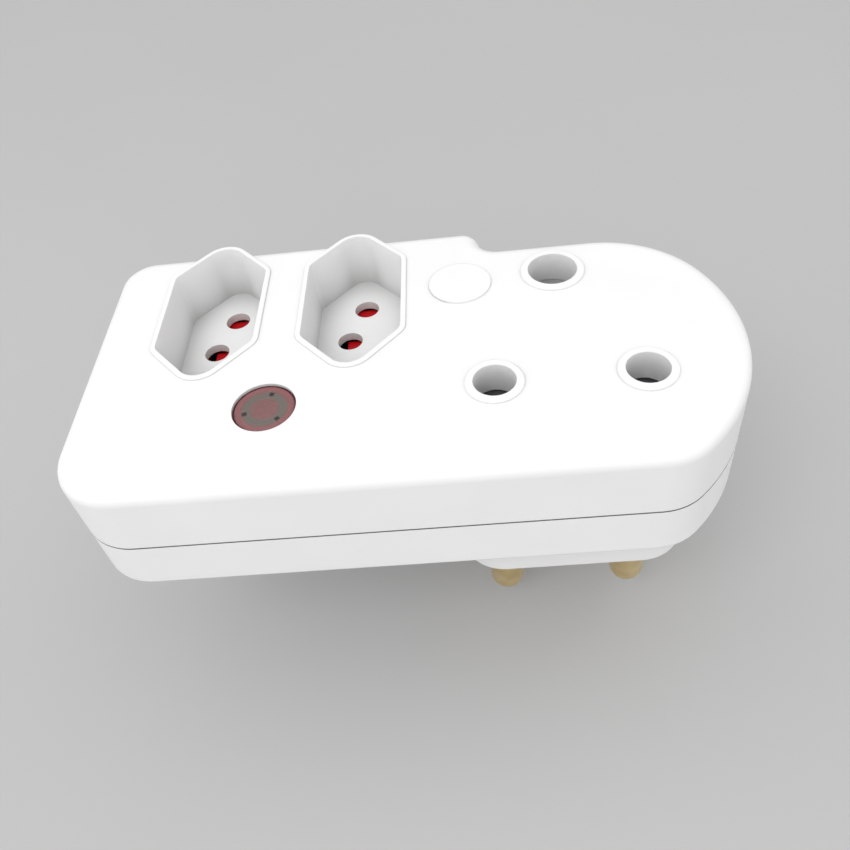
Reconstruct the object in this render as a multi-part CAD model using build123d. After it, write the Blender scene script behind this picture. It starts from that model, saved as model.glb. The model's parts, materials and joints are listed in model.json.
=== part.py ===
# Multi socket adapter: a round-pin plug, one large and two small shuttered sockets, and a surge board.
# Millimetres. Origin on the plug face, midway between the two line pins. +Y to the earth pin, +Z to the sockets.
import os
from math import atan2, cos, pi, sin, sqrt

from build123d import *

os.makedirs("parts", exist_ok=True)

# Large socket and plug, standard spacing
PIN_PITCH = 25.4
EARTH_Y = 28.58
LINE_PIN_R = 3.525
LINE_PIN_LEN = 21.1
EARTH_PIN_R = 4.35
EARTH_PIN_LEN = 28.6
LINE_HOLE_R = 3.7
EARTH_HOLE_R = 4.62
RING_W = 1.4
RING_H = 0.5
RING_EDGE_R = 0.3
TUBE_DEPTH = 5.6
EARTH_COLLAR_DEPTH = 9.7
COLLAR_EASE = 0.25
PIN_SHOULDER = 0.2
PIN_SHOULDER_OUT = 0.3

# Small sockets, standard spacing
SMALL_PITCH = 19.0
SMALL_EARTH_X = 3.0
SMALL_PIN_R = 2.25
SMALL_PIN_LEN = 19.0
SMALL_HOLE_R = 2.5
LEFT_X = -65.04
RIGHT_X = -37.57
SMALL_Y = 26.3
RECESS_DEPTH = 11.2
RECESS_FLOOR = 1.8
RIM_H = 0.35
HEX_SHIFT = -0.6
HEX_BACK = 0.2
HEX_HALF_W = 9.3
HEX_HALF_SIDE = 10.6
HEX_APEX = 20.8
HEX_APEX_R = 4.0
HEX_SIDE_R = 2.6
HEX_WALL = 1.0
HEX_TAPER = 1.5

# Body
BOSS_H = 15.2
BODY_H = 25.0
LOWER_H = 10.85
LEFT_END = -87.17
FRONT = -18.85
BACK = 44.57
NARROW_BACK = 38.04
RIGHT_END = 31.33
END_R = 35.06
END_MID_Y = 9.9
END_FRONT_R = 10.4
END_BACK_R = 22.1
LEFT_FRONT_R = 11.2
LEFT_BACK_R = 6.8
STEP_START_X = -17.0
STEP_END_X = -9.6
TOP_FILLET = 2.8
BOTTOM_FILLET = 0.8
WALL = 2.2
ROOF = 2.4
FLOOR = 2.0
SEAM = 0.3
LIP_H = 1.0
LIP_T = 0.9
LIP_CLEAR = 0.1

# Boss under the body
BOSS_X = 12.9
BOSS_Y = -2.95
BOSS_R = 8.5
BOSS_BACK_R = 7.9
BOSS_FLOOR = 3.0
BOSS_FILLET = 1.0

# Plinth that makes room for the small pins
PLINTH_WALL = 1.8
PLINTH_FLOOR = 1.6
PLINTH_R = 4.0
TIP_CLEAR = 0.4

# Lamp window
LENS_X = -52.07
LENS_Y = -1.4
LENS_R = 5.5
LENS_SINK = 0.5
LENS_FLANGE = 1.3
LENS_FLANGE_T = 1.6
GUARD_W = 1.4
RETAINER_T = 1.4
DIFFUSER_R = 2.4

# Plain round pad on the roof
PAD_X = -17.6
PAD_Y = 27.2
PAD_R = 5.9
PAD_H = 0.3

# Clearances and stock
FIT = 0.05
CONTACT_T = 0.7
BLOCK_WALL = 0.7
BLOCK_CLEAR = 0.7
BLOCK_FAR = 8.5
BLOCK_NEAR = 5.5
SLIDE = 0.15
GAP = 0.3
PILLAR_R = 3.0
PILLAR_CLEAR = 0.9
STRAP_T = 0.8
STRAP_W = 5.0
SHUTTER_TRAVEL = 8.9
SMALL_TRAVEL = 5.6

# Levels that follow
Z_BOTTOM = BOSS_H
Z_SEAM = BOSS_H + LOWER_H
Z_TOP = BOSS_H + BODY_H
Z_ROOF = Z_TOP - ROOF
Z_RING = Z_TOP + RING_H
Z_RECESS = Z_TOP - RECESS_DEPTH
Z_UNDER = Z_RECESS - RECESS_FLOOR
Z_FLOOR = Z_BOTTOM + FLOOR
Z_STRAP = Z_FLOOR + 0.4
Z_SMALL_TIP = Z_RECESS - SMALL_PIN_LEN
Z_PLINTH_IN = Z_SMALL_TIP - TIP_CLEAR
Z_PLINTH = Z_PLINTH_IN - PLINTH_FLOOR
Z_TUBE = Z_TOP - TUBE_DEPTH
LINE_X = PIN_PITCH / 2
SMALL_Y_OFF = SMALL_PITCH / 2
TUBE_IN = SMALL_PIN_R + FIT
TUBE_OUT = TUBE_IN + CONTACT_T
BLOCK_HALF = SMALL_Y_OFF + TUBE_OUT + BLOCK_WALL
PLINTH_HALF = BLOCK_HALF + BLOCK_CLEAR + PLINTH_WALL
PLINTH_X0 = LEFT_X - BLOCK_FAR - BLOCK_CLEAR - PLINTH_WALL
PLINTH_X1 = RIGHT_X + BLOCK_NEAR + BLOCK_CLEAR + PLINTH_WALL
FRONT_SCREW_IN = LEFT_FRONT_R - (LEFT_FRONT_R - WALL - PILLAR_R - PILLAR_CLEAR) / sqrt(2)
SCREWS = [
    (LEFT_END + FRONT_SCREW_IN, FRONT + FRONT_SCREW_IN),
    (LEFT_END + 5.9, BACK - 6.4),
    (STEP_START_X - 5.5, BACK - 6.4),
    (RIGHT_END - 5.9, (FRONT + NARROW_BACK) / 2),
]
PEGS = [(sx * 18.9, y) for sx in (-1, 1) for y in (-10.0, 9.5)]
PEG_R = 1.4


def box(x0, x1, y0, y1, z0, z1):
    return Pos((x0 + x1) / 2, (y0 + y1) / 2, (z0 + z1) / 2) * Box(x1 - x0, y1 - y0, z1 - z0)


def rod(x, y, r, z0, z1):
    return Pos(x, y, (z0 + z1) / 2) * Cylinder(r, z1 - z0)


def prism(face, z0, z1):
    return extrude(Pos(0, 0, z0) * face, amount=z1 - z0)


def polar(centre, r, angle):
    return (centre[0] + r * cos(angle), centre[1] + r * sin(angle))


def arc(centre, r, a0, a1):
    return ThreePointArc(polar(centre, r, a0), polar(centre, r, (a0 + a1) / 2), polar(centre, r, a1))


def body_outline():
    # Straight sides, an S-shaped step in the back wall and one wide arc with softer corners at the right end
    end_c = (RIGHT_END - END_R, END_MID_Y)
    top_y = NARROW_BACK - END_BACK_R
    low_y = FRONT + END_FRONT_R
    top_c = (end_c[0] + sqrt((END_R - END_BACK_R) ** 2 - (top_y - END_MID_Y) ** 2), top_y)
    low_c = (end_c[0] + sqrt((END_R - END_FRONT_R) ** 2 - (low_y - END_MID_Y) ** 2), low_y)
    top_lean = atan2(top_c[1] - end_c[1], top_c[0] - end_c[0])
    low_lean = atan2(low_c[1] - end_c[1], low_c[0] - end_c[0])
    step_x = STEP_END_X - STEP_START_X
    step_y = BACK - NARROW_BACK
    turn = 2 * atan2(step_y, step_x)
    step_r = step_x / (2 * sin(turn))
    left_top = (LEFT_END + LEFT_BACK_R, BACK - LEFT_BACK_R)
    left_low = (LEFT_END + LEFT_FRONT_R, FRONT + LEFT_FRONT_R)
    edges = [
        Line((left_low[0], FRONT), (low_c[0], FRONT)),
        arc(low_c, END_FRONT_R, -pi / 2, low_lean),
        arc(end_c, END_R, low_lean, top_lean),
        arc(top_c, END_BACK_R, top_lean, pi / 2),
        Line((top_c[0], NARROW_BACK), (STEP_END_X, NARROW_BACK)),
        arc((STEP_END_X, NARROW_BACK + step_r), step_r, -pi / 2, -pi / 2 - turn),
        arc((STEP_START_X, BACK - step_r), step_r, pi / 2 - turn, pi / 2),
        Line((STEP_START_X, BACK), (left_top[0], BACK)),
        arc(left_top, LEFT_BACK_R, pi / 2, pi),
        Line((LEFT_END, left_top[1]), (LEFT_END, left_low[1])),
        arc(left_low, LEFT_FRONT_R, pi, 3 * pi / 2),
    ]
    return make_face(edges)


def boss_outline():
    rounds = [(-BOSS_X, BOSS_Y, BOSS_R), (BOSS_X, BOSS_Y, BOSS_R), (0, EARTH_Y, BOSS_BACK_R)]
    edges = []
    for x, y, r in rounds:
        edges += (Pos(x, y) * Circle(r)).edges()
    return make_hull(edges)


def hexagon(grow):
    pts = [(HEX_HALF_W, HEX_HALF_SIDE), (0, HEX_APEX), (-HEX_HALF_W, HEX_HALF_SIDE)]
    pts += [(-x, -y) for x, y in pts]
    face = make_face(Polyline(*pts, close=True))
    tips = [v for v in face.vertices() if abs(v.X) < 0.1]
    face = fillet(tips, HEX_APEX_R)
    sides = [v for v in face.vertices() if abs(v.X) > HEX_HALF_W - 0.1]
    face = fillet(sides, HEX_SIDE_R)
    return offset(face, grow) if grow else face


def plinth_outline(inset):
    wide = PLINTH_X1 - PLINTH_X0 - 2 * inset
    deep = 2 * PLINTH_HALF - 2 * inset
    return Pos((PLINTH_X0 + PLINTH_X1) / 2, SMALL_Y) * RectangleRounded(wide, deep, PLINTH_R - inset)


def small_holes(x):
    return [(x, SMALL_Y - SMALL_Y_OFF), (x - SMALL_EARTH_X, SMALL_Y), (x, SMALL_Y + SMALL_Y_OFF)]


OUTLINE = body_outline()
CAVITY = offset(OUTLINE, -WALL)
BOSS = boss_outline()


def make_upper():
    z0 = Z_SEAM + SEAM / 2
    shell = prism(OUTLINE, z0, Z_TOP)
    shell = fillet(shell.faces().sort_by(Axis.Z)[-1].edges(), TOP_FILLET)
    inner = prism(CAVITY, z0, Z_ROOF)
    inner = fillet(inner.faces().sort_by(Axis.Z)[-1].edges(), 1.2)
    shell -= inner
    shell -= prism(offset(OUTLINE, LIP_T + LIP_CLEAR - WALL), z0, Z_SEAM + LIP_H + 0.2)
    for x in (LEFT_X, RIGHT_X):
        well = prism(Pos(x + HEX_SHIFT, SMALL_Y + HEX_BACK) * hexagon(HEX_WALL), Z_UNDER, Z_TOP + RIM_H)
        lip = well.faces().sort_by(Axis.Z)[-1].edges()
        shell += fillet(lip, 0.25)
    for x, y, r in ((-LINE_X, 0, LINE_HOLE_R), (LINE_X, 0, LINE_HOLE_R), (0, EARTH_Y, EARTH_HOLE_R)):
        tube = rod(x, y, r + RING_W, Z_TUBE, Z_RING)
        shell += fillet(tube.faces().sort_by(Axis.Z)[-1].edges(), RING_EDGE_R)
    collar = rod(0, EARTH_Y, EARTH_HOLE_R + RING_W, Z_TOP - EARTH_COLLAR_DEPTH, Z_TUBE + 1)
    shell += collar - box(-20, 20, EARTH_Y - 20, EARTH_Y + 2.0, 0, Z_TUBE)
    shell += rod(PAD_X, PAD_Y, PAD_R, Z_ROOF, Z_TOP + PAD_H)
    shell += rod(LENS_X, LENS_Y, LENS_R + LENS_FLANGE + SLIDE + GUARD_W, Z_ROOF - LENS_FLANGE_T, Z_ROOF + 0.5)
    for x, y in SCREWS:
        shell += rod(x, y, PILLAR_R, z0, Z_ROOF + 0.5)
    for x, y in PEGS:
        shell += rod(x, y, PEG_R, Z_GUIDE - 0.6, Z_ROOF + 0.5)
        shell += rod(x, y, PEG_R + 0.8, Z_GUIDE - 0.6, Z_GUIDE)
    for side in (-1, 1):
        stop = box(14.4, 16.8, BLADE_HALF + SLIDE, BLADE_HALF + SLIDE + 1.4, Z_BLADE + 0.3, Z_ROOF + 0.5)
        shell += stop if side > 0 else mirror(stop, Plane.YZ)
    for x in (LEFT_X, RIGHT_X):
        recess = extrude(
            Pos(x + HEX_SHIFT, SMALL_Y + HEX_BACK, Z_TOP + RIM_H + 0.01) * hexagon(0),
            amount=-(Z_TOP + RIM_H + 0.01 - Z_RECESS),
            taper=HEX_TAPER,
        )
        shell -= recess
        for hx, hy in small_holes(x):
            shell -= rod(hx, hy, SMALL_HOLE_R, Z_UNDER - 1, Z_RECESS + 1)
    for x in (-LINE_X, LINE_X):
        shell -= rod(x, 0, LINE_HOLE_R, Z_TUBE - 1, Z_RING + 1)
    shell -= rod(0, EARTH_Y, EARTH_HOLE_R, Z_TUBE - 1, Z_RING + 1)
    shell -= rod(0, EARTH_Y, EARTH_HOLE_R + COLLAR_EASE, Z_TUBE - 20, Z_TUBE)
    shell -= rod(LENS_X, LENS_Y, LENS_R + 0.1, Z_ROOF - 1, Z_TOP + 1)
    shell -= rod(LENS_X, LENS_Y, LENS_R + LENS_FLANGE + SLIDE, Z_ROOF - LENS_FLANGE_T - 1, Z_ROOF)
    for x, y in SCREWS:
        shell -= rod(x, y, SCREW_CORE_R, z0 - 1, Z_SCREW_TIP + 1)
    return shell


def make_lower():
    z1 = Z_SEAM - SEAM / 2
    shell = prism(OUTLINE, Z_BOTTOM, z1)
    shell = fillet(shell.faces().sort_by(Axis.Z)[0].edges(), BOTTOM_FILLET)
    boss = prism(BOSS, 0, Z_BOTTOM + 0.5)
    boss = fillet(boss.faces().sort_by(Axis.Z)[0].edges(), BOSS_FILLET)
    plinth = prism(plinth_outline(0), Z_PLINTH, Z_BOTTOM + 0.5)
    plinth = fillet(plinth.faces().sort_by(Axis.Z)[0].edges(), BOSS_FILLET)
    shell += boss
    shell += plinth
    shell -= prism(CAVITY, Z_FLOOR, z1 + 1)
    shell -= prism(offset(BOSS, -WALL), BOSS_FLOOR, z1)
    shell -= prism(plinth_outline(PLINTH_WALL), Z_PLINTH_IN, z1)
    lip = offset(OUTLINE, LIP_T - WALL) - CAVITY
    shell += prism(lip, Z_FLOOR + 1, Z_SEAM + LIP_H)
    for x, y in SCREWS:
        shell += rod(x, y, PILLAR_R + 0.2, Z_FLOOR - 1, z1)
    for x, y in BOARD_POSTS:
        shell += rod(x, y, 1.8, Z_FLOOR - 0.5, Z_BOARD)
    for x in (-LINE_X, LINE_X):
        shell -= rod(x, 0, LINE_PIN_R + PIN_SHOULDER + FIT, -1, BOSS_FLOOR + 1)
    shell -= rod(0, EARTH_Y, EARTH_PIN_R + PIN_SHOULDER + FIT, -1, BOSS_FLOOR + 1)
    for x, y in SCREWS:
        shell -= rod(x, y, SCREW_R + 0.2, Z_BOTTOM - 1, z1 + 1)
        shell -= rod(x, y, SCREW_HEAD_R + 0.3, Z_BOTTOM - 1, Z_SCREW_SEAT)
    return shell


# Screws
SCREW_R = 1.45
SCREW_CORE_R = 1.5
SCREW_HEAD_R = 2.6
Z_SCREW_SEAT = Z_BOTTOM + 4.0
Z_SCREW_TIP = Z_SEAM + 8.0


def make_screws():
    group = []
    for x, y in SCREWS:
        screw = rod(x, y, SCREW_R, Z_SCREW_SEAT - 0.5, Z_SCREW_TIP)
        head = rod(x, y, SCREW_HEAD_R, Z_SCREW_SEAT - 1.9, Z_SCREW_SEAT)
        head = fillet(head.faces().sort_by(Axis.Z)[0].edges(), 0.6)
        cross = box(x - 1.6, x + 1.6, y - 0.3, y + 0.3, Z_SCREW_SEAT - 3, Z_SCREW_SEAT - 0.9)
        cross += box(x - 0.3, x + 0.3, y - 1.6, y + 1.6, Z_SCREW_SEAT - 3, Z_SCREW_SEAT - 0.9)
        group.append(screw + head - cross)
    return Compound(children=group)


# Plug pins and the sleeves that take another plug
PIN_FLANGE = 1.2
PIN_FLANGE_T = 1.5
COLUMN_R = 3.0
SPIGOT_R = 1.5
HEAD_T = 0.3
SLEEVE_T = 1.0
SLEEVE_BASE = 0.8
LINE_SLEEVE_R = LINE_PIN_R + FIT
EARTH_SLEEVE_R = EARTH_PIN_R + FIT
Z_LINE_TIP = Z_RING - LINE_PIN_LEN
Z_EARTH_TIP = Z_RING - EARTH_PIN_LEN
Z_EARTH_SLEEVE = Z_EARTH_TIP - 0.4 - HEAD_T - SLEEVE_BASE


def make_pin(x, y, r, length, z_base):
    # Domed pin, shoulder in the boss floor, flange, column, and a spigot headed over the sleeve base
    tip = r - length
    pin = rod(x, y, r, tip, 0) + Pos(x, y, tip) * Sphere(r)
    pin += rod(x, y, r + PIN_SHOULDER, -PIN_SHOULDER_OUT, BOSS_FLOOR)
    pin += rod(x, y, r + PIN_FLANGE, BOSS_FLOOR, BOSS_FLOOR + PIN_FLANGE_T)
    pin += rod(x, y, COLUMN_R, BOSS_FLOOR + 0.5, z_base)
    top = z_base + SLEEVE_BASE
    if y == 0:
        top += STRAP_T
    pin += rod(x, y, SPIGOT_R, z_base - 0.5, top)
    return pin + rod(x, y, SPIGOT_R + 0.7, top, top + HEAD_T)


def make_sleeve(x, y, r, z0, z1):
    tube = rod(x, y, r + SLEEVE_T, z0, z1) - rod(x, y, r, z0 + SLEEVE_BASE, z1 + 1)
    tube -= rod(x, y, SPIGOT_R + FIT, z0 - 1, z0 + SLEEVE_BASE + 1)
    mouth = tube.faces().sort_by(Axis.Z)[-1].edges().sort_by(SortBy.RADIUS)[0]
    tube = chamfer(mouth, 0.5)
    slot = SLEEVE_BASE + 2.0
    tube -= box(x - 0.5, x + 0.5, y - 20, y + 20, z0 + slot, z1 + 1)
    return tube - box(x - 20, x + 20, y - 0.5, y + 0.5, z0 + slot, z1 + 1)


# Large socket shutter: a cross blade under both line holes and a ramp under the earth hole
BLADE_HALF = 4.2
BLADE_X = 17.2
BLADE_T = 2.0
STEM_HALF = 2.2
Z_BLADE_TOP = Z_TUBE - GAP
Z_BLADE = Z_BLADE_TOP - BLADE_T
GUIDE_T = 1.8
Z_GUIDE = Z_BLADE - 0.2 - GUIDE_T
RAMP_TOP_Y = EARTH_Y - 0.7
RAMP_LOW_Y = EARTH_Y + 4.27
STEM_FOOT = 6.0
SPRING_TAB = 1.0
SPRING_TURNS = 6
MAIN_SPRING_R = 1.4
MAIN_SPRING_WIRE = 0.22
Z_SPRING = Z_BLADE + 0.5
GUIDE_HALF_X = 21.4
GUIDE_FRONT = -14.4
GUIDE_BACK = 12.4
GUIDE_STEM_HALF = 6.2
GUIDE_HOLE_CLEAR = 0.6


def make_main_shutter():
    drop = RAMP_LOW_Y - RAMP_TOP_Y
    blade = box(-BLADE_X, BLADE_X, -BLADE_HALF, BLADE_HALF, Z_BLADE, Z_BLADE_TOP)
    blade += box(-STEM_HALF, STEM_HALF, 0, EARTH_Y - STEM_FOOT, Z_BLADE, Z_BLADE_TOP)
    side = [
        (EARTH_Y - 7, Z_BLADE_TOP),
        (RAMP_TOP_Y, Z_BLADE_TOP),
        (RAMP_LOW_Y, Z_BLADE_TOP - drop),
        (RAMP_LOW_Y, Z_BLADE_TOP - drop - 1.0),
        (RAMP_LOW_Y - 1.2, Z_BLADE_TOP - drop - 1.0),
        (EARTH_Y - 2.6, Z_BLADE),
        (EARTH_Y - 7, Z_BLADE),
    ]
    wedge = Plane.YZ * make_face(Polyline(*side, close=True))
    blade += extrude(Pos(-STEM_HALF, 0, 0) * wedge, amount=2 * STEM_HALF)
    blade += box(-STEM_HALF, STEM_HALF, -BLADE_HALF, SPRING_TAB - BLADE_HALF, Z_BLADE - 0.9, Z_BLADE_TOP)
    return blade


def make_guide():
    # Plate that carries the blade, on four pegs of the roof
    z0, z1 = Z_GUIDE, Z_GUIDE + GUIDE_T
    plate = box(-GUIDE_HALF_X, GUIDE_HALF_X, GUIDE_FRONT, GUIDE_BACK, z0, z1)
    plate += box(-GUIDE_STEM_HALF, GUIDE_STEM_HALF, GUIDE_BACK - 0.4, EARTH_Y - 5.6, z0, z1)
    plate -= box(-STEM_HALF - 0.5, STEM_HALF + 0.5, RAMP_TOP_Y - SHUTTER_TRAVEL - 4.0, EARTH_Y, z0 - 1, z1 + 1)
    plate -= box(-STEM_HALF - 0.4, STEM_HALF + 0.4, -20, SPRING_TAB - BLADE_HALF + 0.4, z0 - 1, z1 + 1)
    for x in (-LINE_X, LINE_X):
        plate -= rod(x, 0, LINE_HOLE_R + GUIDE_HOLE_CLEAR, z0 - 1, z1 + 1)
    for x, y in PEGS:
        plate -= rod(x, y, PEG_R + FIT, z0 - 1, z1 + 1)
    for x, y in SCREWS:
        plate -= rod(x, y, PILLAR_R + GUIDE_HOLE_CLEAR, z0 - 1, z1 + 1)
    return plate & prism(offset(CAVITY, -0.5), z0 - 1, z1 + 1)


def make_spring(x, z, y0, y1, r, wire, turns):
    # Coil along Y with flat-lying end turns, 0.05 short of each seat
    free = y1 - y0 - 2 * wire - 0.1
    path = Helix(pitch=free / turns, height=free, radius=r)
    start = path @ 0
    profile = Plane(origin=start, z_dir=path % 0) * Circle(wire)
    coil = sweep(profile, path=path, transition=Transition.ROUND)
    return Pos(x, y0 + wire + 0.05, z) * Rot(-90, 0, 0) * coil


# Small socket shutters: three wedges on a frame, pushed to the front by the pins
TOOTH_HALF = 2.7
TOOTH_T = 1.6
RAIL_T = 2.0
RAMP_RUN = 4.0
Z_SMALL_TOP = Z_UNDER - GAP
RAIL_IN = 2.7
RAIL_OUT = 4.6
FAR_RAIL_IN = 6.0
FAR_RAIL_OUT = 7.5
SMALL_SPRING_OUT = 1.5
SMALL_SPRING_DROP = 1.8
SMALL_SPRING_R = 1.3
SMALL_SPRING_WIRE = 0.2
COMB_FRONT = -SMALL_Y_OFF - TOOTH_HALF
COMB_BACK = SMALL_Y_OFF + 3.1
SEAT_Y = COMB_FRONT - 9.2


def make_tooth(c):
    side = [
        (c - TOOTH_HALF, Z_SMALL_TOP),
        (c - 0.9, Z_SMALL_TOP),
        (c - 0.9 + RAMP_RUN, Z_SMALL_TOP - RAMP_RUN),
        (c - 0.9 + RAMP_RUN, Z_SMALL_TOP - RAMP_RUN - 1.2),
        (c - 0.5, Z_SMALL_TOP - TOOTH_T),
        (c - TOOTH_HALF, Z_SMALL_TOP - TOOTH_T),
    ]
    wedge = Plane.YZ * make_face(Polyline(*side, close=True))
    return extrude(Pos(-TOOTH_HALF, 0, 0) * wedge, amount=2 * TOOTH_HALF + 0.2)


def make_small_shutter(x):
    z0 = Z_SMALL_TOP - RAIL_T
    comb = make_tooth(-SMALL_Y_OFF) + make_tooth(0) + make_tooth(SMALL_Y_OFF)
    away = SMALL_TRAVEL - 0.2
    low = Z_SMALL_TOP - 10
    comb -= rod(-SMALL_EARTH_X, away, SMALL_PIN_R + 0.35, low, Z_UNDER)
    comb -= rod(0, away - SMALL_Y_OFF, SMALL_PIN_R + 0.35, low, Z_UNDER)
    comb += box(RAIL_IN, RAIL_OUT, COMB_FRONT, COMB_BACK, z0, Z_SMALL_TOP)
    comb += box(-FAR_RAIL_OUT, -FAR_RAIL_IN, COMB_FRONT, COMB_BACK, Z_SMALL_TOP - TOOTH_T, Z_SMALL_TOP)
    comb += box(-FAR_RAIL_OUT, -2.6, COMB_FRONT, COMB_FRONT + 2.6, Z_SMALL_TOP - TOOTH_T, Z_SMALL_TOP)
    comb += box(-FAR_RAIL_OUT, -2.6, SMALL_Y_OFF - 0.5, SMALL_Y_OFF + 1.2, Z_SMALL_TOP - TOOTH_T, Z_SMALL_TOP)
    comb += box(-3.4, 0.4, COMB_FRONT, COMB_FRONT + 1.0, Z_SMALL_TOP - 3.4, Z_SMALL_TOP)
    return Pos(x, SMALL_Y, 0) * comb


def make_bed(x):
    # Frame that carries one small shutter and seats its spring
    z0 = Z_SMALL_TOP - 3.7
    z_near = Z_SMALL_TOP - RAIL_T - SLIDE
    z_far = Z_SMALL_TOP - TOOTH_T - SLIDE
    near = RAIL_OUT + SLIDE
    far = FAR_RAIL_OUT + SLIDE
    back = SMALL_Y_OFF + 4.2
    bed = box(near, near + 1.2, SEAT_Y - 1.2, back, z0, Z_SMALL_TOP)
    bed += box(RAIL_IN + 0.5, near + 1.2, SEAT_Y - 1.2, back, z0, z_near)
    bed += box(-far - 1.2, -far, SEAT_Y - 1.2, back, z0, Z_SMALL_TOP)
    bed += box(-far - 1.2, 0.4 - FAR_RAIL_IN, SEAT_Y - 1.2, back, z0, z_far)
    bed += box(-far - 1.2, near + 1.2, SEAT_Y - 1.2, SEAT_Y, z0, Z_SMALL_TOP)
    bed += box(-far - 1.2, near + 1.2, COMB_BACK + SLIDE, back, z0, Z_SMALL_TOP)
    for y in (-SMALL_Y_OFF / 2, SMALL_Y_OFF / 2):
        bed += box(RAIL_IN + 0.5, near + 1.2, y - 1.6, y + 1.6, Z_STRAP, z0 + 0.5)
        bed += box(-far - 1.2, -SMALL_EARTH_X - TUBE_OUT - 0.3, y - 1.6, y + 1.6, Z_STRAP, z0 + 0.5)
    return Pos(x, SMALL_Y, 0) * bed


# Straps with their formed tube contacts
Z_CONTACT_TOP = Z_STRAP + STRAP_T + 1.8
Z_CONTACT_LOW = Z_SMALL_TIP + 0.6


def strap(x0, x1, y0, y1):
    return box(x0, x1, y0, y1, Z_STRAP, Z_STRAP + STRAP_T)


def with_contacts(plate, spots, slot_side):
    for x, y in spots:
        plate += rod(x, y, TUBE_OUT, Z_CONTACT_LOW, Z_CONTACT_TOP)
    for x, y in spots:
        plate -= rod(x, y, TUBE_IN, Z_CONTACT_LOW - 1, Z_CONTACT_TOP + 1)
        y0, y1 = sorted((y, y + 10 * slot_side))
        plate -= box(x - 0.5, x + 0.5, y0, y1, Z_CONTACT_LOW - 1, Z_STRAP - 0.2)
    return plate


def make_neutral_busbar():
    w = STRAP_W / 2
    y_row = SMALL_Y - SMALL_Y_OFF
    x_turn = -LINE_X - 11.3
    plate = rod(-LINE_X, 0, 4.2, Z_STRAP, Z_STRAP + STRAP_T)
    plate += strap(x_turn - w, -LINE_X, -w, w)
    plate += strap(x_turn - w, x_turn + w, -w, y_row + w)
    plate += strap(LEFT_X - TUBE_OUT - 1.2, x_turn + w, y_row - w, y_row + w)
    plate -= rod(-LINE_X, 0, SPIGOT_R + FIT, 0, Z_TOP)
    return with_contacts(plate, [(LEFT_X, y_row), (RIGHT_X, y_row)], -1)


def make_earth_busbar():
    w = STRAP_W / 2
    plate = strap(LEFT_X - SMALL_EARTH_X - TUBE_OUT - 1.2, 0, SMALL_Y - w, SMALL_Y + w)
    plate -= rod(0, EARTH_Y, EARTH_SLEEVE_R + SLEEVE_T + 0.01, 0, Z_TOP)
    spots = [(LEFT_X - SMALL_EARTH_X, SMALL_Y), (RIGHT_X - SMALL_EARTH_X, SMALL_Y)]
    return with_contacts(plate, spots, -1)


def make_live_busbar():
    w = STRAP_W / 2
    y_row = SMALL_Y + SMALL_Y_OFF
    plate = strap(LEFT_X - TUBE_OUT - 1.2, LIVE_TAB_X + 1.8, y_row - w, y_row + w)
    return with_contacts(plate, [(LEFT_X, y_row), (RIGHT_X, y_row)], 1)


def make_live_terminal():
    plate = rod(LINE_X, 0, 4.2, Z_STRAP, Z_STRAP + STRAP_T)
    plate += strap(LINE_X - 1.8, LINE_X + 1.8, -9.4, 9.4)
    return plate - rod(LINE_X, 0, SPIGOT_R + FIT, 0, Z_TOP)


def make_contact_block(x):
    y0, y1 = SMALL_Y - BLOCK_HALF, SMALL_Y + BLOCK_HALF
    block = box(x - BLOCK_FAR, x + BLOCK_NEAR, y0, y1, Z_PLINTH_IN, Z_STRAP)
    for hx, hy in small_holes(x):
        block -= rod(hx, hy, TUBE_OUT + 0.1, Z_PLINTH_IN - 1, Z_STRAP + 1)
    return block


# Surge board and what stands on it
BOARD_X0 = -75.8
BOARD_X1 = -28.0
BOARD_Y0 = FRONT + 3.0
BOARD_Y1 = 2.4
BOARD_T = 1.6
Z_BOARD = Z_FLOOR + 2.4
Z_BOARD_TOP = Z_BOARD + BOARD_T
BOARD_POSTS = [(x, y) for x in (BOARD_X0 + 3, BOARD_X1 - 3) for y in (BOARD_Y0 + 3, BOARD_Y1 - 3)]
LIVE_TAB_X = -29.4
WIRE_R = 1.1
VARISTOR_R = 5.8
VARISTOR_T = 4.2
LEAD_R = 0.4
LEFT_VARISTORS_IN = (5.0, 11.6)
RIGHT_VARISTOR_IN = 6.2

# Round parts with two legs: radius, length, leg radius and how far the legs stand out
NEON = (2.4, 8.0, 0.35, 1.5)
NEON_DROP = 6.6
RESISTOR = (1.15, 6.2, 0.3, 1.6)
RESISTOR_RISE = 1.5
RESISTOR_OUT = 2.0
FUSE = (1.6, 8.0, 0.4, 1.5)
FUSE_RISE = 2.0
FUSE_IN = 13.5
AXIAL_IN = 3.2
PAD_IN = 1.8


def make_board():
    return box(BOARD_X0, BOARD_X1, BOARD_Y0, BOARD_Y1, Z_BOARD, Z_BOARD_TOP)


def make_varistor(x):
    y = (BOARD_Y0 + BOARD_Y1) / 2
    z = Z_BOARD_TOP + 1.5 + VARISTOR_R
    disc = Pos(x, y, z) * Rot(0, 90, 0) * Cylinder(VARISTOR_R, VARISTOR_T)
    disc = fillet(disc.edges().filter_by(GeomType.CIRCLE), 1.2)
    for dx, dy in ((-0.9, -2.5), (0.9, 2.5)):
        disc += rod(x + dx, y + dy, LEAD_R, Z_BOARD_TOP, z - VARISTOR_R + 1.5)
    return disc


def make_axial(x, y, z, r, length, lead, reach):
    # Round part lying along X with two legs bent down to the board
    part = Pos(x, y, z) * Rot(0, 90, 0) * Cylinder(r, length)
    part = fillet(part.edges().filter_by(GeomType.CIRCLE), r * 0.35)
    half = length / 2 + reach
    part += Pos(x, y, z) * Rot(0, 90, 0) * Cylinder(lead, 2 * half)
    for side in (-1, 1):
        part += rod(x + side * half, y, lead, Z_BOARD_TOP, z)
        part += Pos(x + side * half, y, z) * Sphere(lead)
    return part


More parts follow.
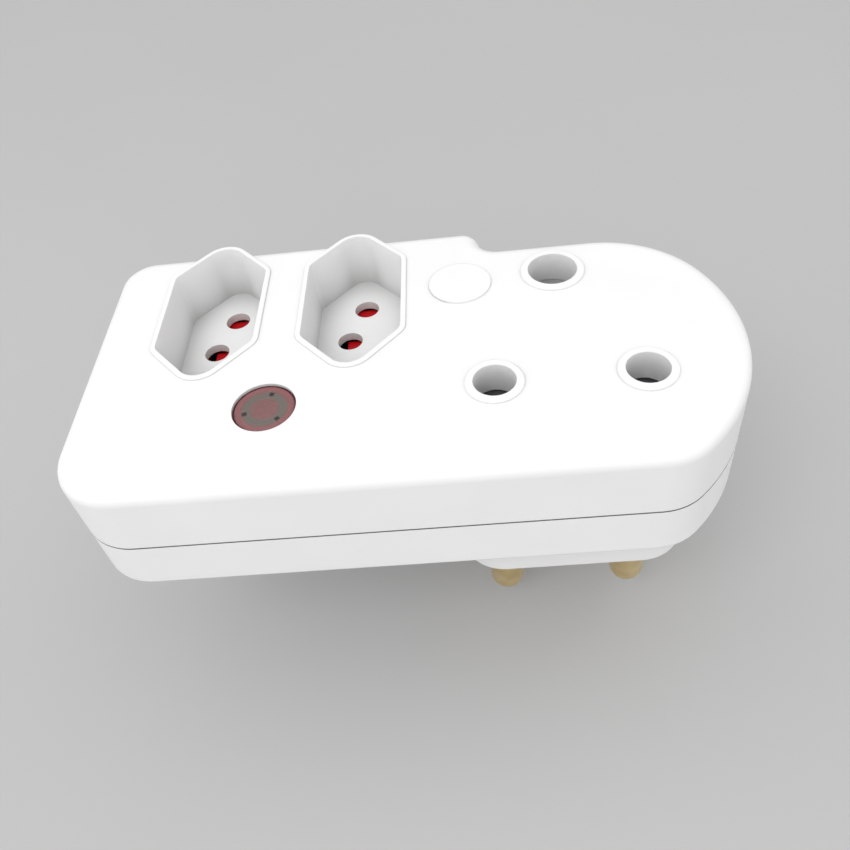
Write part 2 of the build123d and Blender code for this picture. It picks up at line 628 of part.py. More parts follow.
def make_wire(points):
    ends = ((0, 0, 1), (0, 0, -1))
    path = Spline(*points, tangents=ends, tangent_scalars=(0.4, 0.4))
    profile = Plane(origin=points[0], z_dir=(0, 0, 1)) * Circle(WIRE_R)
    return sweep(profile, path=path)


def make_lens():
    z1 = Z_TOP - LENS_SINK
    lens = rod(LENS_X, LENS_Y, LENS_R, Z_ROOF - LENS_FLANGE_T, z1)
    lens += rod(LENS_X, LENS_Y, LENS_R + LENS_FLANGE, Z_ROOF - LENS_FLANGE_T, Z_ROOF)
    return lens - rod(LENS_X, LENS_Y, LENS_R - 1.2, Z_ROOF - LENS_FLANGE_T - 1, z1 - 1.4)


def make_retainer():
    z1 = Z_ROOF - LENS_FLANGE_T
    ring = rod(LENS_X, LENS_Y, LENS_R + LENS_FLANGE + SLIDE + GUARD_W, z1 - RETAINER_T, z1)
    ring -= rod(LENS_X, LENS_Y, DIFFUSER_R + FIT, z1 - 2, z1 + 1)
    for turn in (75, 195, 315):
        window = Pos(DIFFUSER_R + 1.1, 0, 0) * Box(0.9, 1.0, 4)
        ring -= Pos(LENS_X, LENS_Y, z1) * Rot(0, 0, turn) * window
    return ring


def make_diffuser():
    z1 = Z_ROOF - LENS_FLANGE_T
    hat = rod(LENS_X, LENS_Y, DIFFUSER_R, z1 - RETAINER_T - 0.5, z1 - 0.3)
    return hat + rod(LENS_X, LENS_Y, DIFFUSER_R + 0.5, z1 - RETAINER_T - 0.5, z1 - RETAINER_T)


TOP_STRAP = Z_STRAP + STRAP_T
NODES = {
    "upper_shell": make_upper(),
    "lower_shell": make_lower(),
    "case_screws": make_screws(),
    "live_pin": make_pin(LINE_X, 0, LINE_PIN_R, LINE_PIN_LEN, Z_STRAP),
    "neutral_pin": make_pin(-LINE_X, 0, LINE_PIN_R, LINE_PIN_LEN, Z_STRAP),
    "earth_pin": make_pin(0, EARTH_Y, EARTH_PIN_R, EARTH_PIN_LEN, Z_EARTH_SLEEVE),
    "live_sleeve": make_sleeve(LINE_X, 0, LINE_SLEEVE_R, TOP_STRAP, Z_GUIDE - GAP),
    "neutral_sleeve": make_sleeve(-LINE_X, 0, LINE_SLEEVE_R, TOP_STRAP, Z_GUIDE - GAP),
    "earth_sleeve": make_sleeve(0, EARTH_Y, EARTH_SLEEVE_R, Z_EARTH_SLEEVE, Z_BLADE_TOP - 6.9),
    "neutral_busbar": make_neutral_busbar(),
    "earth_busbar": make_earth_busbar(),
    "live_busbar": make_live_busbar(),
    "live_terminal": make_live_terminal(),
    "left_contact_block": make_contact_block(LEFT_X),
    "right_contact_block": make_contact_block(RIGHT_X),
    "left_shutter_bed": make_bed(LEFT_X),
    "right_shutter_bed": make_bed(RIGHT_X),
    "left_shutter": make_small_shutter(LEFT_X),
    "right_shutter": make_small_shutter(RIGHT_X),
    "left_shutter_spring": make_spring(
        LEFT_X - SMALL_SPRING_OUT, Z_SMALL_TOP - SMALL_SPRING_DROP, SMALL_Y + SEAT_Y, SMALL_Y + COMB_FRONT,
        SMALL_SPRING_R, SMALL_SPRING_WIRE, SPRING_TURNS,
    ),
    "right_shutter_spring": make_spring(
        RIGHT_X - SMALL_SPRING_OUT, Z_SMALL_TOP - SMALL_SPRING_DROP, SMALL_Y + SEAT_Y, SMALL_Y + COMB_FRONT,
        SMALL_SPRING_R, SMALL_SPRING_WIRE, SPRING_TURNS,
    ),
    "shutter_guide": make_guide(),
    "main_shutter": make_main_shutter(),
    "main_shutter_spring": make_spring(
        0, Z_SPRING, FRONT + WALL, -BLADE_HALF, MAIN_SPRING_R, MAIN_SPRING_WIRE, SPRING_TURNS
    ),
    "indicator_lens": make_lens(),
    "lens_retainer": make_retainer(),
    "lamp_diffuser": make_diffuser(),
    "neon_lamp": make_axial(LENS_X, LENS_Y, Z_ROOF - NEON_DROP, *NEON),
    "ballast_resistor": make_axial(
        LENS_X - RESISTOR_OUT, BOARD_Y0 + AXIAL_IN, Z_BOARD_TOP + RESISTOR_RISE, *RESISTOR
    ),
    "thermal_fuse": make_axial(BOARD_X1 - FUSE_IN, BOARD_Y0 + AXIAL_IN, Z_BOARD_TOP + FUSE_RISE, *FUSE),
    "surge_board": make_board(),
    "varistor_live_neutral": make_varistor(BOARD_X0 + LEFT_VARISTORS_IN[0]),
    "varistor_live_earth": make_varistor(BOARD_X0 + LEFT_VARISTORS_IN[1]),
    "varistor_neutral_earth": make_varistor(BOARD_X1 - RIGHT_VARISTOR_IN),
    "live_socket_lead": make_wire([
        (LINE_X, 7.6, TOP_STRAP), (LINE_X - 5, 13, TOP_STRAP + 3.6), (-9, 17, TOP_STRAP + 4.6),
        (-22, 27, TOP_STRAP + 4.6), (LIVE_TAB_X, SMALL_Y + SMALL_Y_OFF - 1, TOP_STRAP),
    ]),
    "live_board_lead": make_wire([
        (BOARD_X1 - PAD_IN, BOARD_Y0 + 5, Z_BOARD_TOP + 0.1), (-20, BOARD_Y0 + 4, Z_BOARD_TOP + 3),
        (0, BOARD_Y0 + 3, Z_BOARD_TOP + 2), (LINE_X, -7.6, TOP_STRAP),
    ]),
    "neutral_lead": make_wire([
        (BOARD_X1 - PAD_IN, BOARD_Y0 + 10, Z_BOARD_TOP), (-25.5, -3.2, Z_BOARD_TOP + 3), (-22, 0, TOP_STRAP),
    ]),
    "earth_lead": make_wire([
        (BOARD_X1 - PAD_IN, BOARD_Y1 - 1.6, Z_BOARD_TOP), (-26, 12, Z_BOARD_TOP + 1), (-17, SMALL_Y - 1, TOP_STRAP),
    ]),
}

for name, shape in NODES.items():
    export_step(shape, f"parts/{name}.step")
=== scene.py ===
import bpy
import numpy as np
from mathutils import Matrix, Vector
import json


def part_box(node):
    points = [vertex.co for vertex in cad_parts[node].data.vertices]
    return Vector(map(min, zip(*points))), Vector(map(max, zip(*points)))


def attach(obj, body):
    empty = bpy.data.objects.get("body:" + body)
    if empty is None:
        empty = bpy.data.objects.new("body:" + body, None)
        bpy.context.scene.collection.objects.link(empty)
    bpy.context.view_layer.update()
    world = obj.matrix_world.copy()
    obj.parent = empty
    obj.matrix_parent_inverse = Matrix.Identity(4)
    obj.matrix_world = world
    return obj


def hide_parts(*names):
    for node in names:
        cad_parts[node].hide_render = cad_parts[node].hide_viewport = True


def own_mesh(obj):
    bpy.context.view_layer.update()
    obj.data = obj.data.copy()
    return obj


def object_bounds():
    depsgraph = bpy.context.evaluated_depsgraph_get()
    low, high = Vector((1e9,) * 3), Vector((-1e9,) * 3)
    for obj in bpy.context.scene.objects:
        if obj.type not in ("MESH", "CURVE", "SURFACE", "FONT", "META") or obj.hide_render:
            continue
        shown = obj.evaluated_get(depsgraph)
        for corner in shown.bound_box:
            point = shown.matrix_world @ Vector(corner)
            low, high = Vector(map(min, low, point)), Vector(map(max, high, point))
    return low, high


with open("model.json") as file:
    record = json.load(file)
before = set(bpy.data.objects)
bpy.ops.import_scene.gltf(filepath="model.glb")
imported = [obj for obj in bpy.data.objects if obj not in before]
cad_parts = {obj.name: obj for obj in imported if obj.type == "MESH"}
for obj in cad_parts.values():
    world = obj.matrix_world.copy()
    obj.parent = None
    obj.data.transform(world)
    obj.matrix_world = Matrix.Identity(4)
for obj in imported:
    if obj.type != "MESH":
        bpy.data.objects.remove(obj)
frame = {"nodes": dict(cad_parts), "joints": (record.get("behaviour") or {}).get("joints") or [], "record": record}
cad_low, cad_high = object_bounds()

# Lengths are in metres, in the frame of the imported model: origin on the plug face, +Z out of the sockets
MM = 0.001

# Camera, as fitted to the photograph
EYE = (-14.13 * MM, -100.57 * MM, 139.63 * MM)
RIGHT = (0.99394, -0.00650, -0.10970)
DOWN = (-0.07905, -0.73571, -0.67267)
FORWARD = (-0.07633, 0.67727, -0.73177)
LENS_MM = 35.58
SENSOR_MM = 36.0
NEAREST = 5 * MM
FARTHEST = 20.0

# Case: the lower shell's lip over the parting line, the painted shade along that line and the painted shade in
# hollows
LIP_HEIGHT = 1.0 * MM
SEAM_HALF = 0.165 * MM
SHADE_REACH = 7 * MM
EDGE_ROUND = 0.18 * MM

# Floor of the two wells, below the raised rings' tops, and where the wells' side of the roof ends; the painted
# shade in hollows is deeper in the wells than below that floor or past that end
WELL_DEPTH = 11.7 * MM
WELLS_END_X = -20 * MM

# Lamp lens, as distances from its middle: the pale band, its small windows painted dark as shade, the outer zone
# and the painted shade at the edge
BAND_START = 2.45 * MM
BAND_END = 4.0 * MM
WINDOW_OUT = 3.5 * MM
WINDOW_HALF = 0.42 * MM
WINDOW_TURNS = (75, 195, 315)
ZONE_START = 4.2 * MM
EDGE_SHADE_START = 5.2 * MM

# Painted bands of the resistor: place along the body as a share of its length, and colour
PAINTED_BANDS = (
    (0.34, (0.30, 0.05, 0.02)),
    (0.43, (0.02, 0.02, 0.02)),
    (0.52, (0.55, 0.40, 0.02)),
    (0.64, (0.50, 0.33, 0.08)),
)
PAINTED_HALF = 0.022

# Small shutters, measured from the corner of each shutter's box: teeth under the three holes of a socket
TEETH = 3
TOOTH_HALF = 2.7 * MM
RAIL_OUT = 4.6 * MM
TOOTH_PITCH = 9.5 * MM

# Noses over the teeth's ramps; the middle one also covers a little more of its hole on the left
NOSE_START = -0.9 * MM
NOSE_END = 2.75 * MM
NOSE_DROP = 1.2 * MM
NOSE_POWER = 5
NOSE_SINK = 0.05 * MM
NOSE_SPREAD = (0, 1.2 * MM, 0)
NOSE_STEPS = 25
NOSE_CREASE = 35

# Coil springs in front of the shutters: wire radius of each, turns, sides of the wire and steps in a turn
SPRING_WIRES = {"left_shutter": 0.20 * MM, "right_shutter": 0.20 * MM, "main_shutter": 0.22 * MM}
TURNS = 6
WIRE_SIDES = 12
TURN_STEPS = 28
COIL_CREASE = 50

# Studio: a floor that bends up into a wall, an even surround and one weak key light
FLOOR_GAP = 0.2 * MM
FLOOR_HALF = 2.5
FLOOR_BACK = 1.6
FLOOR_BEND = 0.6
FLOOR_STEPS = 25
SURROUND_STRENGTH = 1.42
KEY_PLACE = (-0.35, -0.55, 0.85)
KEY_SIZE = 0.5
KEY_POWER = 3.0


def add_camera():
    """Puts the camera at the photograph's eye point, along the fitted right, up and back directions."""
    data = bpy.data.cameras.new("camera")
    data.lens = LENS_MM
    data.sensor_width = SENSOR_MM
    data.clip_start = NEAREST
    data.clip_end = FARTHEST
    camera = bpy.data.objects.new("camera", data)
    bpy.context.scene.collection.objects.link(camera)
    up = [-v for v in DOWN]
    back = [-v for v in FORWARD]
    turn = Matrix((RIGHT, up, back)).transposed()
    camera.matrix_world = Matrix.Translation(EYE) @ turn.to_4x4()
    bpy.context.scene.camera = camera


add_camera()


class Sig:
    """A number or colour that flows between shader nodes; arithmetic on it adds the maths nodes."""

    def __init__(self, finish, socket):
        self.finish = finish
        self.socket = socket

    def math(self, operation, *others):
        return self.finish.node("ShaderNodeMath", {"operation": operation}, [self, *others])

    def __add__(self, other):
        return self.math("ADD", other)

    def __mul__(self, other):
        return self.math("MULTIPLY", other)

    def __sub__(self, other):
        return self.math("SUBTRACT", other)

    def __rsub__(self, other):
        return self.finish.node("ShaderNodeMath", {"operation": "SUBTRACT"}, [other, self])

    def __truediv__(self, other):
        return self.math("DIVIDE", other)

    def __abs__(self):
        return self.math("ABSOLUTE")

    __radd__ = __add__
    __rmul__ = __mul__

    def above(self, edge, soft):
        """Rises from 0 to 1 as the value passes edge, over a width of soft."""
        return self.finish.node(
            "ShaderNodeMapRange",
            {"interpolation_type": "SMOOTHSTEP"},
            {"Value": self, "From Min": edge - soft / 2, "From Max": edge + soft / 2},
        )

    def under(self, edge, soft):
        """Falls from 1 to 0 as the value passes edge, over a width of soft."""
        return 1 - self.above(edge, soft)


class Finish:
    """One material: a Principled shader, the piece's own coordinates and helpers for patterns."""

    def __init__(self, name, **fixed):
        self.material = bpy.data.materials.new(name)
        self.material.use_nodes = True
        self.tree = self.material.node_tree
        self.shader = self.tree.nodes["Principled BSDF"]
        self.place = self.node("ShaderNodeTexCoord", {}, {}, "Object")
        for socket, value in fixed.items():
            self.shader.inputs[socket.replace("_", " ")].default_value = value

    def node(self, kind, settings, values, out=0):
        """Adds one node, sets its options first, then the values or links of its sockets."""
        made = self.tree.nodes.new(kind)
        for key, value in settings.items():
            setattr(made, key, value)
        items = values.items() if isinstance(values, dict) else enumerate(values)
        for key, value in items:
            if isinstance(value, Sig):
                self.tree.links.new(value.socket, made.inputs[key])
            else:
                made.inputs[key].default_value = value
        return Sig(self, made.outputs[out])

    def stretched(self, stretch):
        """The piece's coordinates, each multiplied by its own share."""
        return self.node("ShaderNodeMapping", {}, {"Vector": self.place, "Scale": stretch})

    def noise(self, size, detail=2.0, stretch=(1, 1, 1)):
        """Cloudy noise in blobs about size metres across, longer along an axis with a small stretch."""
        values = {"Vector": self.stretched(stretch), "Scale": 1 / size, "Detail": detail}
        return self.node("ShaderNodeTexNoise", {}, values, "Fac")

    def cells(self, size):
        """Distance to the nearest of many scattered points about size metres apart."""
        values = {"Vector": self.stretched((1, 1, 1)), "Scale": 1 / size}
        return self.node("ShaderNodeTexVoronoi", {}, values, "Distance")

    def axis(self, index):
        """The piece's own X, Y or Z, as index is 0, 1 or 2."""
        return self.node("ShaderNodeSeparateXYZ", {}, [self.place], index)

    def blend(self, factor, first, second):
        """Colour that goes from first to second as factor goes from 0 to 1."""
        first, second = (c if isinstance(c, Sig) else (*c, 1.0) for c in (first, second))
        return self.node("ShaderNodeMix", {"data_type": "RGBA"}, {0: factor, 6: first, 7: second}, 2)

    def put(self, socket, value):
        self.tree.links.new(value.socket, self.shader.inputs[socket])

    def relief(self, *layers, round_edges=0.0):
        """Bumps the surface by layers of (height 0 to 1, depth in metres), over softly rounded edges."""
        under = None
        if round_edges:
            under = self.node("ShaderNodeBevel", {"samples": 6}, {"Radius": round_edges})
        for height, depth in layers:
            values = {"Height": height, "Distance": depth, "Strength": 1.0}
            if under:
                values["Normal"] = under
            under = self.node("ShaderNodeBump", {}, values)
        self.put("Normal", under)


def case_white():
    """White moulded plastic: fine spark-eroded skin, faint flow clouds and an uneven gloss.

    Shade in hollows is painted a little into the colour, less in the bores than in the wells, and painted shade
    makes the parting line dark.
    """
    f = Finish("case_white", IOR=1.5, Specular_IOR_Level=0.5)
    cloud = f.noise(14 * MM, 3)
    skin = f.noise(0.28 * MM, 3)
    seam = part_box("lower_shell")[1].z - LIP_HEIGHT
    # painted shade: a dark band along the parting line, where the slit between the shells falls in shadow
    seam_shade = abs(f.axis(2) - seam).under(SEAM_HALF, 0.02 * MM)
    white = f.blend(cloud, (0.66, 0.66, 0.658), (0.70, 0.70, 0.698))
    # painted shade in hollows from ambient occlusion, darker in the wells than in the bores and on the right of
    # the roof
    hole = f.axis(2).under(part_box("upper_shell")[1].z - WELL_DEPTH, 0.3 * MM)
    bore = hole.math("MAXIMUM", f.axis(0).above(WELLS_END_X, 1 * MM))
    shade = f.blend(bore, (0.30, 0.30, 0.296), (0.54, 0.54, 0.536))
    nook = f.node("ShaderNodeAmbientOcclusion", {"samples": 12}, {"Distance": SHADE_REACH}, "AO")
    white = f.blend(nook.above(0.52, 0.90), shade, white)
    f.put("Base Color", f.blend(seam_shade, white, (0.16, 0.16, 0.16)))
    f.put("Roughness", 0.34 + 0.10 * f.noise(5 * MM, 2) + 0.08 * skin)
    f.relief((f.noise(9 * MM, 1), 0.02 * MM), (skin, 0.006 * MM), round_edges=EDGE_ROUND)
    return f


def pin_brass():
    """Turned brass: rings round the pin from the lathe, a few rubbed streaks along it and dull patches."""
    f = Finish("pin_brass", Metallic=1.0)
    rings = f.noise(0.22 * MM, 2, (0.05, 0.05, 1))
    rubbed = f.noise(0.5 * MM, 2, (1, 1, 0.04))
    dull = f.noise(4 * MM, 4)
    f.put("Base Color", f.blend(dull.above(0.5, 0.5), (0.83, 0.68, 0.40), (0.70, 0.54, 0.28)))
    f.put("Roughness", 0.24 + 0.16 * dull + 0.10 * rubbed)
    f.relief((rings, 0.010 * MM), (rubbed, 0.004 * MM))
    return f


def contact_brass():
    """Pressed strip brass, rolled along its length, with brown tarnish in clouds."""
    f = Finish("contact_brass", Metallic=1.0)
    rolled = f.noise(0.3 * MM, 2, (0.05, 1, 1))
    tarnish = f.noise(6 * MM, 4)
    f.put("Base Color", f.blend(tarnish.above(0.55, 0.3), (0.76, 0.55, 0.24), (0.45, 0.28, 0.10)))
    f.put("Roughness", 0.28 + 0.25 * tarnish)
    f.relief((rolled, 0.006 * MM))
    return f


def coloured_plastic(name, light, dark, shine, skin_size=0.4 * MM, gleam=0.5):
    """Self-coloured moulded plastic: two close tones in clouds over a fine skin."""
    f = Finish(name, IOR=1.5, Specular_IOR_Level=gleam)
    cloud = f.noise(3 * MM, 3)
    skin = f.noise(skin_size, 2)
    f.put("Base Color", f.blend(cloud, light, dark))
    f.put("Roughness", shine + 0.12 * skin + 0.06 * cloud)
    f.relief((skin, 0.008 * MM), round_edges=0.1 * MM)
    return f


def wire_jacket(name, light, dark):
    """Extruded insulation of a lead: moulded plastic with a finer skin."""
    return coloured_plastic(name, light, dark, 0.4, skin_size=0.25 * MM)


def spring_steel():
    """Drawn wire with fine lines along the coil and a faint straw tint."""
    f = Finish("spring_steel", Metallic=1.0)
    drawn = f.noise(0.08 * MM, 2)
    f.put("Base Color", f.blend(drawn, (0.58, 0.57, 0.55), (0.72, 0.70, 0.66)))
    f.put("Roughness", 0.25 + 0.2 * drawn)
    f.relief((drawn, 0.002 * MM))
    return f


def screw_steel():
    """Zinc-plated steel: pale bluish patches, dull where the driver has rubbed."""
    f = Finish("screw_steel", Metallic=1.0)
    plate = f.noise(0.7 * MM, 4)
    f.put("Base Color", f.blend(plate, (0.50, 0.52, 0.56), (0.66, 0.66, 0.64)))
    f.put("Roughness", 0.26 + 0.22 * plate)
    f.relief((f.noise(0.15 * MM, 2), 0.004 * MM))
    return f


def lens_red():
    """See-through red plastic over the lamp.

    It is clear in the middle, with a frosted grey band that has three small clear windows, and a milky rim. The
    windows are painted dark as the shade of the hollow behind them, and a dark ring of painted shade runs round
    the edge where the lens meets its bore.
    """
    f = Finish("lens_red", IOR=1.49)
    low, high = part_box("indicator_lens")
    x = f.axis(0) - (low.x + high.x) / 2
    y = f.axis(1) - (low.y + high.y) / 2
    radius = (x * x + y * y).math("SQRT")
    wave = f.noise(1.1 * MM, 3)
    band = radius.above(BAND_START, 0.6 * MM) * radius.under(BAND_END, 0.6 * MM)
    windows = radius * 0
    for turn in np.radians(WINDOW_TURNS):
        along = x * np.cos(turn) + y * np.sin(turn) - WINDOW_OUT
        beside = x * np.sin(turn) - y * np.cos(turn)
        windows += abs(along).under(WINDOW_HALF, 0.2 * MM) * abs(beside).under(WINDOW_HALF, 0.2 * MM)
    colour = f.blend(wave, (0.21, 0.105, 0.105), (0.27, 0.135, 0.13))
    colour = f.blend(band, colour, (0.125, 0.105, 0.092))
    # painted shade: the windows take the dark of the hollow under the lens
    colour = f.blend(windows, colour, (0.02, 0.016, 0.016))
    colour = f.blend(radius.above(ZONE_START, 0.5 * MM), colour, (0.30, 0.125, 0.13))
    # painted shade: the dark ring at the edge stands for the shadowed slit between the lens and its bore
    f.put("Base Color", f.blend(radius.above(EDGE_SHADE_START, 0.2 * MM), colour, (0.07, 0.005, 0.008)))
    f.put("Alpha", 0.66 + 0.22 * band)
    f.put("Roughness", 0.10 + 0.15 * band + 0.08 * wave)
    f.relief((wave, 0.012 * MM), (f.noise(0.3 * MM, 1), 0.003 * MM))
    return f


def lamp_glass():
    """Clear glass with faint draw lines along the bulb."""
    f = Finish("lamp_glass", IOR=1.5, Transmission_Weight=0.8)
    lines = f.noise(0.4 * MM, 2, (0.1, 1, 1))
    f.put("Base Color", f.blend(lines, (0.90, 0.86, 0.82), (0.98, 0.95, 0.92)))
    f.put("Roughness", 0.05 + 0.05 * lines)
    f.relief((lines, 0.004 * MM))
    return f


def board_green():
    """Green solder resist over a woven board, with broad copper tracks faintly raised under it."""
    f = Finish("board_green", IOR=1.5, Coat_Weight=0.4, Coat_Roughness=0.15)
    weave = f.cells(0.6 * MM)
    across = f.axis(1) * (1 / (5 * MM))
    track = across.math("FRACT").above(0.28, 0.04)
    f.put("Base Color", f.blend(track, (0.012, 0.075, 0.028), (0.02, 0.14, 0.05)))
    f.put("Roughness", 0.32 + 0.12 * weave)
    f.relief((track, 0.05 * MM), (weave, 0.006 * MM))
    return f


def varistor_blue():
    """Dipped epoxy coating: glossy, slightly lumpy, darker where it ran thin."""
    f = Finish("varistor_blue", Coat_Weight=0.5, Coat_Roughness=0.12)
    runs = f.noise(2.5 * MM, 3)
    f.put("Base Color", f.blend(runs, (0.02, 0.07, 0.22), (0.04, 0.13, 0.36)))
    f.put("Roughness", 0.25 + 0.2 * runs)
    f.relief((runs, 0.08 * MM), (f.noise(0.4 * MM, 2), 0.006 * MM))
    return f


def resistor_tan():
    """Tan lacquered body with four painted bands round it."""
    f = Finish("resistor_tan", Coat_Weight=0.3)
    low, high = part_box("ballast_resistor")
    along = (f.axis(0) - low.x) / (high.x - low.x)
    colour = f.blend(f.noise(0.8 * MM, 3), (0.55, 0.36, 0.18), (0.62, 0.43, 0.24))
    for centre, paint in PAINTED_BANDS:
        colour = f.blend(abs(along - centre).under(PAINTED_HALF, 0.006), colour, paint)
    f.put("Base Color", colour)
    f.put("Roughness", 0.3 + 0.15 * f.noise(0.5 * MM, 2))
    f.relief((f.noise(1.2 * MM, 2), 0.02 * MM))
    return f


def fuse_white():
    """Glazed ceramic with pinholes."""
    f = Finish("fuse_white", Coat_Weight=0.4, Coat_Roughness=0.1)
    pits = f.cells(0.5 * MM).under(0.12, 0.08)
    f.put("Base Color", f.blend(pits, (0.78, 0.77, 0.72), (0.52, 0.50, 0.45)))
    f.put("Roughness", 0.3 + 0.3 * pits)
    f.relief((1 - pits, 0.02 * MM))
    return f


FINISHES = {
    "case_white": case_white(),
    "pin_brass": pin_brass(),
    "contact_brass": contact_brass(),
    "shutter_red": coloured_plastic(
        "shutter_red", (0.42, 0.003, 0.006), (0.35, 0.002, 0.005), 0.34, gleam=0.12
    ),
    "shutter_dark": coloured_plastic("shutter_dark", (0.035, 0.037, 0.04), (0.055, 0.057, 0.06), 0.35),
    "carrier_black": coloured_plastic("carrier_black", (0.016, 0.016, 0.018), (0.026, 0.026, 0.028), 0.38),
    "retainer_grey": coloured_plastic("retainer_grey", (0.30, 0.30, 0.29), (0.24, 0.24, 0.24), 0.40),
    "spring_steel": spring_steel(),
    "screw_steel": screw_steel(),
    "lens_red": lens_red(),
    "lamp_glass": lamp_glass(),
    "board_green": board_green(),
    "varistor_blue": varistor_blue(),
    "resistor_tan": resistor_tan(),
    "fuse_white": fuse_white(),
    "wire_brown": wire_jacket("wire_brown", (0.16, 0.06, 0.02), (0.12, 0.045, 0.016)),
    "wire_blue": wire_jacket("wire_blue", (0.02, 0.12, 0.42), (0.018, 0.09, 0.34)),
    "wire_green": wire_jacket("wire_green", (0.04, 0.28, 0.05), (0.03, 0.22, 0.04)),
}


def dress_nodes():
    """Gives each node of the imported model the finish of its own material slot."""
    for part in frame["record"]["subparts"]:
        finish = FINISHES[part["material_slot"]]
        for slot in frame["nodes"][part["node"]].material_slots:
            slot.material = finish.material


def link_mesh(name, points, faces, finish, crease=None):
    """Makes a mesh object of one finish, smooth apart from edges that turn more than crease degrees."""
    mesh = bpy.data.meshes.new(name)
    mesh.from_pydata(points.tolist(), [], faces)
    mesh.shade_smooth()
    if crease:
        mesh.set_sharp_from_angle(angle=np.radians(crease))
    mesh.materials.append(finish.material)
    piece = bpy.data.objects.new(name, mesh)
    bpy.context.scene.collection.objects.link(piece)
    return piece


def nose_outline(middle_y, top_z):
    """Side view of one nose, as points round a closed line.

    The top is a quarter of a superellipse, drop * (1 - (1 - u^n)^(1/n)) below the tooth's top as u goes
    from 0 to 1 along the nose. The underside is the tooth's own 45 degree ramp, sunk a hair into it.
    """
    u = 1 - (1 - np.linspace(0, 1, NOSE_STEPS)) ** 2
    y = NOSE_START + (NOSE_END - NOSE_START) * u
    z = -NOSE_DROP * (1 - (1 - u**NOSE_POWER) ** (1 / NOSE_POWER))
    ramp_y = np.array([NOSE_END, NOSE_START])
    ramp_z = NOSE_START - ramp_y - NOSE_SINK
    outline = np.column_stack((np.append(y, ramp_y), np.append(z, ramp_z)))
    return outline + (middle_y, top_z)


def add_noses(shutter):
    """Rounded noses over the ramps of a small shutter's teeth: each outline is carried straight along X."""
    low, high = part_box(shutter)
    middle_x = high.x - RAIL_OUT
    front_y = low.y + TOOTH_HALF
    points, faces = [], []
    for tooth in range(TEETH):
        outline = nose_outline(front_y + tooth * TOOTH_PITCH, high.z)
        count = len(outline)
        sides = (middle_x - TOOTH_HALF - NOSE_SPREAD[tooth], middle_x + TOOTH_HALF)
        x = np.repeat(sides, count)[:, None]
        points.append(np.hstack((x, np.tile(outline, (2, 1)))))
        here = 2 * count * tooth + np.arange(count)
        after = np.roll(here, -1)
        faces += np.column_stack((here, here + count, after + count, after)).tolist()
        faces += [here.tolist(), (here + count)[::-1].tolist()]
    noses = link_mesh(shutter + "_noses", np.vstack(points), faces, FINISHES["shutter_red"], NOSE_CREASE)
    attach(noses, shutter)


def add_coil(shutter, wire):
    """Coil along Y that fills the box of the shutter's spring.

    The wire's round section, c + wire * (cos b * outward + sin b * Y), is carried along the helix
    c = (radius * cos t, pitch * t / 2 pi, -radius * sin t), where outward is (cos t, 0, -sin t).
    """
    low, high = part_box(shutter + "_spring")
    middle = (low + high) / 2
    radius = (high.x - low.x) / 2 - wire
    t = np.linspace(0, 2 * np.pi * TURNS, TURNS * TURN_STEPS + 1)[:, None]
    b = np.linspace(0, 2 * np.pi, WIRE_SIDES, endpoint=False)[None, :]
    reach = radius + wire * np.cos(b)
    x = middle.x + reach * np.cos(t)
    z = middle.z - reach * np.sin(t)
    y = low.y + wire + (high.y - low.y - 2 * wire) * t / t[-1] + wire * np.sin(b)
    points = np.stack((x, y, z), axis=-1).reshape(-1, 3)
    ring = np.arange(WIRE_SIDES)
    rows = np.arange(len(t) - 1)[:, None] * WIRE_SIDES
    here = (rows + ring).ravel()
    side = (rows + np.roll(ring, -1)).ravel()
    faces = np.column_stack((here, here + WIRE_SIDES, side + WIRE_SIDES, side)).tolist()
    faces += [ring.tolist(), (ring[::-1] + len(points) - WIRE_SIDES).tolist()]
    coil = link_mesh(shutter + "_coil", points, faces, FINISHES["spring_steel"], COIL_CREASE)
    joint = next(j for j in frame["joints"] if j["name"] == shutter + "_slide")
    kept = 1 - joint["range_m"][1] / (high.y - low.y)
    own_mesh(coil)
    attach(coil, "case")
    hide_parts(shutter + "_spring")


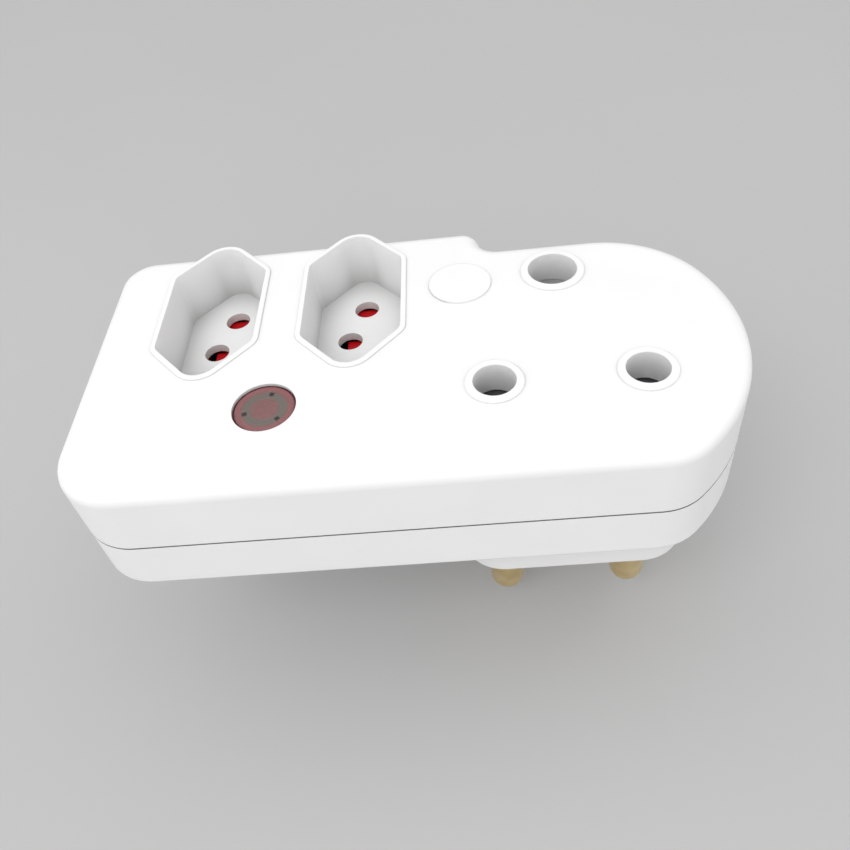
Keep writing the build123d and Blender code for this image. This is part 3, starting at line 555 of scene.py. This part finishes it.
def add_floor():
    """A wide plain floor just under the longest pin, curving up behind into a plain wall.

    Its section, carried along X, runs straight back, turns a quarter circle and goes straight up.
    """
    level = cad_low.z - FLOOR_GAP
    turn = np.linspace(0, np.pi / 2, FLOOR_STEPS)
    end = FLOOR_BACK + FLOOR_BEND
    run = np.concatenate(([-FLOOR_HALF], FLOOR_BACK + FLOOR_BEND * np.sin(turn), [end]))
    rise = np.concatenate(([0.0], FLOOR_BEND - FLOOR_BEND * np.cos(turn), [FLOOR_HALF])) + level
    x, y = np.meshgrid((-FLOOR_HALF, 0.0, FLOOR_HALF), run, indexing="ij")
    z = np.broadcast_to(rise, x.shape)
    points = np.stack((x, y, z), axis=-1).reshape(-1, 3)
    rows, cols = x.shape
    cell = np.arange((rows - 1) * cols).reshape(rows - 1, cols)[:, :-1].ravel()
    faces = np.stack((cell, cell + cols, cell + cols + 1, cell + 1), axis=-1).tolist()
    f = Finish("floor_paper")
    f.put("Base Color", f.blend(f.noise(0.2, 3), (0.36, 0.36, 0.36), (0.39, 0.39, 0.39)))
    f.put("Roughness", 0.75 + 0.1 * f.noise(0.01, 2))
    link_mesh("floor", points, faces, f)


def add_light(name, place, aim, size, power):
    """A round soft light at place, facing aim."""
    data = bpy.data.lights.new(name, "AREA")
    data.shape = "DISK"
    data.size = size
    data.energy = power
    light = bpy.data.objects.new(name, data)
    bpy.context.scene.collection.objects.link(light)
    away = Vector(place) - Vector(aim)
    light.matrix_world = Matrix.Translation(place) @ away.to_track_quat("Z", "Y").to_matrix().to_4x4()


def add_studio():
    """An even pale surround, which shades hollows softly, and a weak soft key light from the front left."""
    scene = bpy.context.scene
    scene.view_settings.view_transform = "Standard"
    world = bpy.data.worlds.new("surround")
    world.use_nodes = True
    surround = world.node_tree.nodes["Background"].inputs
    surround["Color"].default_value = (1, 1, 1, 1)
    surround["Strength"].default_value = SURROUND_STRENGTH
    scene.world = world
    middle = ((cad_low + cad_high) / 2)[:]
    add_light("key", KEY_PLACE, middle, KEY_SIZE, KEY_POWER)


dress_nodes()
for shutter in ("left_shutter", "right_shutter"):
    add_noses(shutter)
for shutter, wire in SPRING_WIRES.items():
    add_coil(shutter, wire)
add_floor()
add_studio()
